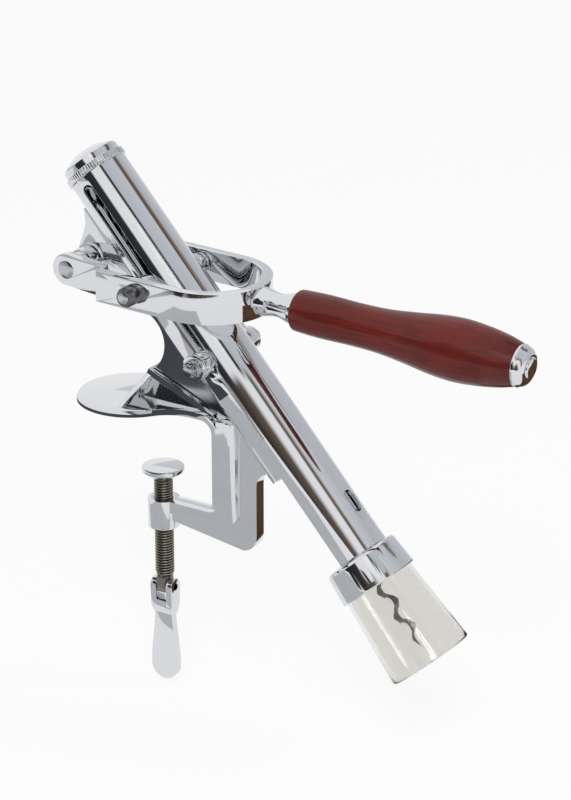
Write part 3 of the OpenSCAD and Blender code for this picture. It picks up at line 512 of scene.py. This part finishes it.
def mesh_piece(name, points, faces):
    """A smooth new piece through its points and faces."""
    mesh = bpy.data.meshes.new(name)
    mesh.from_pydata([tuple(p) for p in points], [], faces)
    for face in mesh.polygons:
        face.use_smooth = True
    return new_object(name, mesh)


def side_faces(count, start):
    """The faces between a ring of points, numbered from a start, and the next ring."""
    pairs = [(k, (k + 1) % count) for k in range(count)]
    return [[start + a, start + b, start + count + b, start + count + a] for a, b in pairs]


def swept(name, rings):
    """A tube through its rings of points, closed at both ends."""
    count = len(rings[0])
    faces = []
    for i in range(len(rings) - 1):
        faces += side_faces(count, i * count)
    faces += [list(range(count))[::-1], [len(rings) * count - count + k for k in range(count)]]
    return mesh_piece(name, [p for ring in rings for p in ring], faces)


worm_low, worm_high, worm_r = along_barrel("worm")
worm_len = worm_high - worm_low
wire_half = worm_r * WIRE_HALF_SHARE
worm_rings = []
for i in range(WORM_RINGS + 1):
    up = worm_len * i / WORM_RINGS
    angle = 2 * math.pi * up / WORM_TURN
    full = min(1, POINT_SHARE + (1 - POINT_SHARE) * up / WORM_TAPER_LEN)
    outward = side_x * math.cos(angle) + side_y * math.sin(angle)
    ring = []
    for out_share, up_share in worm_section:
        off = (worm_r - wire_half) * full + wire_half * full * out_share
        rise = min(max(up + wire_half * WIRE_TALL_SHARE * full * up_share, 0), worm_len)
        ring.append(cross_pin_place + barrel_axis * (worm_low + rise) + outward * off)
    worm_rings.append(ring)
worm_piece = swept("worm_helix", worm_rings)
dress(worm_piece, worm_steel, "worm", "steel", "worm")

# ---- Clamp screw ---------------------------------------------------------
# A zinc-plated screw with a rolled thread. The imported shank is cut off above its
# clevis and taken down to the thread's root, and the ridge is wound round it:
# each of its points is a share of the thread's depth and a share of its pitch.
ZINC = "#8E887E"
THREAD_PITCH = 1.75 * MM
THREAD_DEPTH = 0.95 * MM
THREAD_STEPS = 36
UPPER_SHANK_Z = -75 * MM
SHANK_GAP = 0.4 * MM
RIM_SLACK = 0.05 * MM
SHANK_SLACK = 0.5 * MM
thread_section = ((-0.1, -0.5), (1.0, -0.09), (1.0, 0.09), (-0.1, 0.5))
zinc_steel = metal("zinc_plated_steel", ZINC, roughness=0.26, spread=0.08,
                   grain_mm=0.5, bump_mm=0.002)


def off_axis(v):
    """How far a vertex stands off the clamp screw's axis."""
    return math.hypot(v.co.x, v.co.y)


shank = frame["nodes"]["clamp_screw"].data
shank_r = max(off_axis(v) for v in shank.vertices if v.co.z > UPPER_SHANK_Z)
shank_rims = [v.co.z for v in shank.vertices if abs(off_axis(v) - shank_r) < RIM_SLACK]
shank_low, shank_high = min(shank_rims), max(shank_rims)
root_r = shank_r - THREAD_DEPTH
thread_low = shank_low + SHANK_GAP


def cut_to_root(shape):
    """Cuts the clevis off the screw and takes its shank down to the thread's root."""
    everything = shape.verts[:] + shape.edges[:] + shape.faces[:]
    cut = bmesh.ops.bisect_plane(shape, geom=everything, plane_co=(0, 0, thread_low),
                                 plane_no=(0, 0, -1), clear_outer=True)
    rim = [e for e in cut["geom_cut"] if isinstance(e, bmesh.types.BMEdge)]
    bmesh.ops.holes_fill(shape, edges=rim)
    for v in shape.verts:
        off = off_axis(v)
        if off > shank_r - SHANK_SLACK:
            v.co.x *= root_r / off
            v.co.y *= root_r / off


piece = rounded_copy("clamp_screw", 0.3 * MM)
edit_mesh(piece.data, cut_to_root)
dress(piece, zinc_steel, "screw", "zinc_steel", "clamp_screw")
thread_turns = (shank_high - thread_low - THREAD_PITCH) / THREAD_PITCH
thread_rings = []
for i in range(int(thread_turns * THREAD_STEPS) + 1):
    turn = i / THREAD_STEPS
    angle = 2 * math.pi * turn
    full = max(min(1, turn, thread_turns - turn), 0)
    height = thread_low + THREAD_PITCH * (turn + 0.5)
    ring = []
    for out_share, up_share in thread_section:
        off = root_r + THREAD_DEPTH * full * out_share
        ring.append((off * math.cos(angle), off * math.sin(angle), height + THREAD_PITCH * up_share))
    thread_rings.append(ring)
thread = swept("clamp_thread", thread_rings)
dress(thread, zinc_steel, "screw", "zinc_steel")

# ---- Tongue and paddle ---------------------------------------------------
# The screw ends in a flat tongue; the paddle's fork hangs on it by the pin, and
# slopes down to a thin blade, which widens to a round end. Each drop is a
# distance below the pin.
TONGUE_HALF = 3.0 * MM
TONGUE_DEEP = 5.0 * MM
FORK_SLOT_HALF = 3.5 * MM
FORK_DEEP = 5.3 * MM
FORK_WAIST = 4.6 * MM
EAR_WAIST = 4.7 * MM
ROOT_INSET = 0.4 * MM
BLADE_HALF_T = 2.7 * MM
BLADE_NECK = 6.3 * MM
WAIST_DROP = 9 * MM
EAR_DROP = 13 * MM
SLOPE_DROP = 14 * MM
BLADE_DROP = 15 * MM
ROOT_DROP = 18.5 * MM
ARC_STEPS = 14
BLADE_END_STEPS = 24
BLADE_SIDE_STEPS = 12
pin_spots = [v.co for v in frame["nodes"]["paddle_pin"].data.vertices]
pin_z = (min(v.z for v in pin_spots) + max(v.z for v in pin_spots)) / 2
fork_half = max(v.y for v in pin_spots)
blade_spots = [v.co for v in frame["nodes"]["paddle"].data.vertices]
blade_low = min(v.z for v in blade_spots)
blade_half = max(v.y for v in blade_spots)


def face_outwards(shape):
    """Turns all of a shape's faces outwards."""
    bmesh.ops.recalc_face_normals(shape, faces=shape.faces)


def prism(name, outline, axis, start, end, width):
    """An outline across X (axis 0) or Y (axis 1), drawn out along that axis, edges rounded."""
    count = len(outline)
    points = []
    for level in (start, end):
        points += [(level, a, b) if axis == 0 else (a, level, b) for a, b in outline]
    faces = side_faces(count, 0)
    faces += [list(range(count))[::-1], [count + k for k in range(count)]]
    made = mesh_piece(name, points, faces)
    edit_mesh(made.data, face_outwards)
    round_edges(made, width, segments=2)
    return made


def arc_points(middle, r, start, end, steps=ARC_STEPS):
    """Points of an arc about a place, from one angle to another in degrees."""
    turn = [math.radians(start + (end - start) * i / steps) for i in range(steps + 1)]
    return [(middle[0] + r * math.cos(a), middle[1] + r * math.sin(a)) for a in turn]


tongue_outline = arc_points((0, pin_z), TONGUE_DEEP, 180, 360) + [
    (TONGUE_DEEP, thread_low),
    (-TONGUE_DEEP, thread_low),
]
tongue = prism("clamp_tongue", tongue_outline, 1, -TONGUE_HALF, TONGUE_HALF, width=0.4 * MM)
dress(tongue, zinc_steel, "screw", "zinc_steel")
ear_outline = arc_points((0, pin_z), FORK_DEEP, 0, 180) + [
    (-EAR_WAIST, pin_z - WAIST_DROP),
    (-EAR_WAIST, pin_z - EAR_DROP),
    (EAR_WAIST, pin_z - EAR_DROP),
    (EAR_WAIST, pin_z - WAIST_DROP),
]
for side, near, far in (
    ("left", -fork_half, -FORK_SLOT_HALF), ("right", FORK_SLOT_HALF, fork_half),
):
    ear = prism("paddle_ear_" + side, ear_outline, 1, near, far, width=0.5 * MM)
    dress(ear, cast_chrome, "paddle", "chrome")
root_outline = [
    (-FORK_WAIST, pin_z - WAIST_DROP),
    (-FORK_WAIST, pin_z - SLOPE_DROP),
    (-BLADE_HALF_T, pin_z - ROOT_DROP),
    (BLADE_HALF_T, pin_z - ROOT_DROP),
    (FORK_WAIST, pin_z - SLOPE_DROP),
    (FORK_WAIST, pin_z - WAIST_DROP),
]
root_half = fork_half - ROOT_INSET
root = prism("paddle_root", root_outline, 1, -root_half, root_half, width=0.4 * MM)
dress(root, cast_chrome, "paddle", "chrome")
blade_top = pin_z - BLADE_DROP
end_z = blade_low + blade_half
blade_side = []
for i in range(BLADE_SIDE_STEPS + 1):
    share_down = i / BLADE_SIDE_STEPS
    spread = (1 - math.cos(math.pi * share_down)) / 2
    half_wide = BLADE_NECK + (blade_half - BLADE_NECK) * spread
    blade_side.append((half_wide, blade_top + (end_z - blade_top) * share_down))
blade_end = arc_points((0, end_z), blade_half, 0, -180, BLADE_END_STEPS)[1:-1]
blade_outline = blade_side + blade_end + [(-y, z) for y, z in reversed(blade_side)]
blade = prism("paddle_blade", blade_outline, 0, -BLADE_HALF_T, BLADE_HALF_T, width=0.7 * MM)
dress(blade, cast_chrome, "paddle", "chrome", "paddle")

# ---- Gasket --------------------------------------------------------------
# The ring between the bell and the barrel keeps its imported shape.
RUBBER = "#242528"
gasket_rubber, tree = new_material("moulded_rubber")
shade_with(tree, add_node(tree, "ShaderNodeBsdfPrincipled", {
    "Base Color": linear(RUBBER), "Roughness": 0.7}))
gasket = frame["nodes"]["bell_gasket"]
gasket.data.materials.clear()
gasket.data.materials.append(gasket_rubber)

# ---- Grip ----------------------------------------------------------------
# A turned hardwood grip, stained mahogany, under a clear gloss lacquer. The
# grain runs along it and shows only as a slight change of tone.
STAIN_DARK = "#4B120D"
STAIN_RED = "#6E1A12"
GRAIN_STRETCH = (1, 0.06, 1)
GRAIN_SCALE = 700
CLOUD_SCALE = 22
WOOD_DETAIL = 6
CLOUD_DETAIL = 2
TONE_LOW = 0.12
TONE_HIGH = 0.4
grip_wood, tree = new_material("lacquered_hardwood")
place = own_place(tree)
stretched = add_node(tree, "ShaderNodeMapping", {"Vector": place, "Scale": GRAIN_STRETCH}).outputs[0]
grain = noise(tree, stretched, GRAIN_SCALE, WOOD_DETAIL)
cloud = noise(tree, place, CLOUD_SCALE, CLOUD_DETAIL)
tone = map_range(tree, maths(tree, "MULTIPLY", grain, cloud), TONE_LOW, TONE_HIGH)
colour = mixed_colours(tree, tone, linear(STAIN_DARK), linear(STAIN_RED))
shade_with(tree, add_node(tree, "ShaderNodeBsdfPrincipled", {
    "Base Color": colour, "Roughness": 0.45, "Specular IOR Level": 0.15,
    "Coat Weight": 0.5, "Coat IOR": 1.4, "Coat Roughness": 0.04}))
piece = rounded_copy("handle_grip", 0.3 * MM)
dress(piece, grip_wood, "lever", "lacquered_wood", "handle_grip")

bpy.context.scene.view_settings.view_transform = "Standard"
